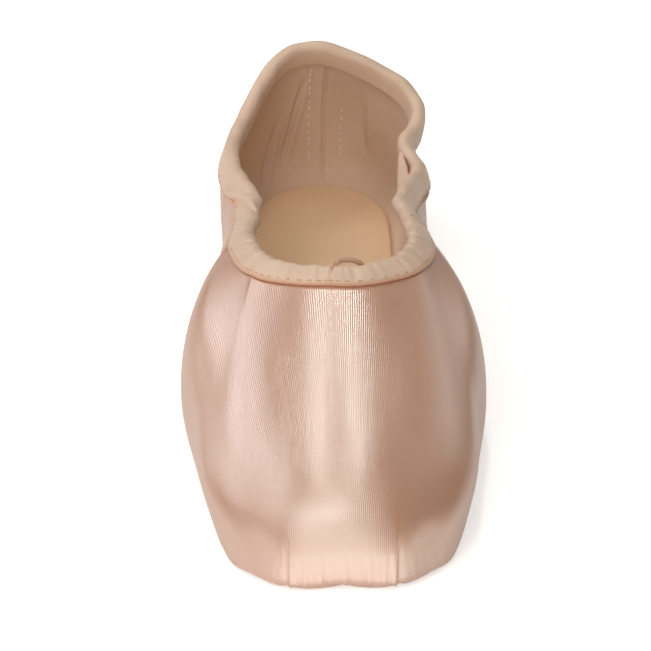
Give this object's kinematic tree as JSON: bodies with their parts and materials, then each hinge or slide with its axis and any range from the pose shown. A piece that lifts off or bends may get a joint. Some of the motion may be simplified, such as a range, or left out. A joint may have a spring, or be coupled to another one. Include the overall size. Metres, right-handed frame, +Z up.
{
  "type": "pointe shoe",
  "caption": "Straight-lasted satin ballet shoe with a stiff flat-ended toe box, a soft drawstring collar, a thin board insole and a leather outsole.",
  "frame": {"origin": "on the floor under the middle of the shoe's box", "axes": "+X to the right of the picture, +Y from the toe to the heel, +Z up from the floor"},
  "size_m": [0.0848, 0.2354, 0.0543],
  "materials": {
    "satin": "glossy peach-pink satin over a glued cloth box, drill lining inside",
    "binding": "folded satin casing",
    "sole_leather": "matte sueded leather",
    "insole_board": "smooth tan board",
    "cord": "thin flat-woven cord"
  },
  "bodies": {
    "root": {"upper": "satin", "collar_binding": "binding", "outsole": "sole_leather", "insole": "insole_board", "drawstring": "cord"}
  },
  "joints": []
}
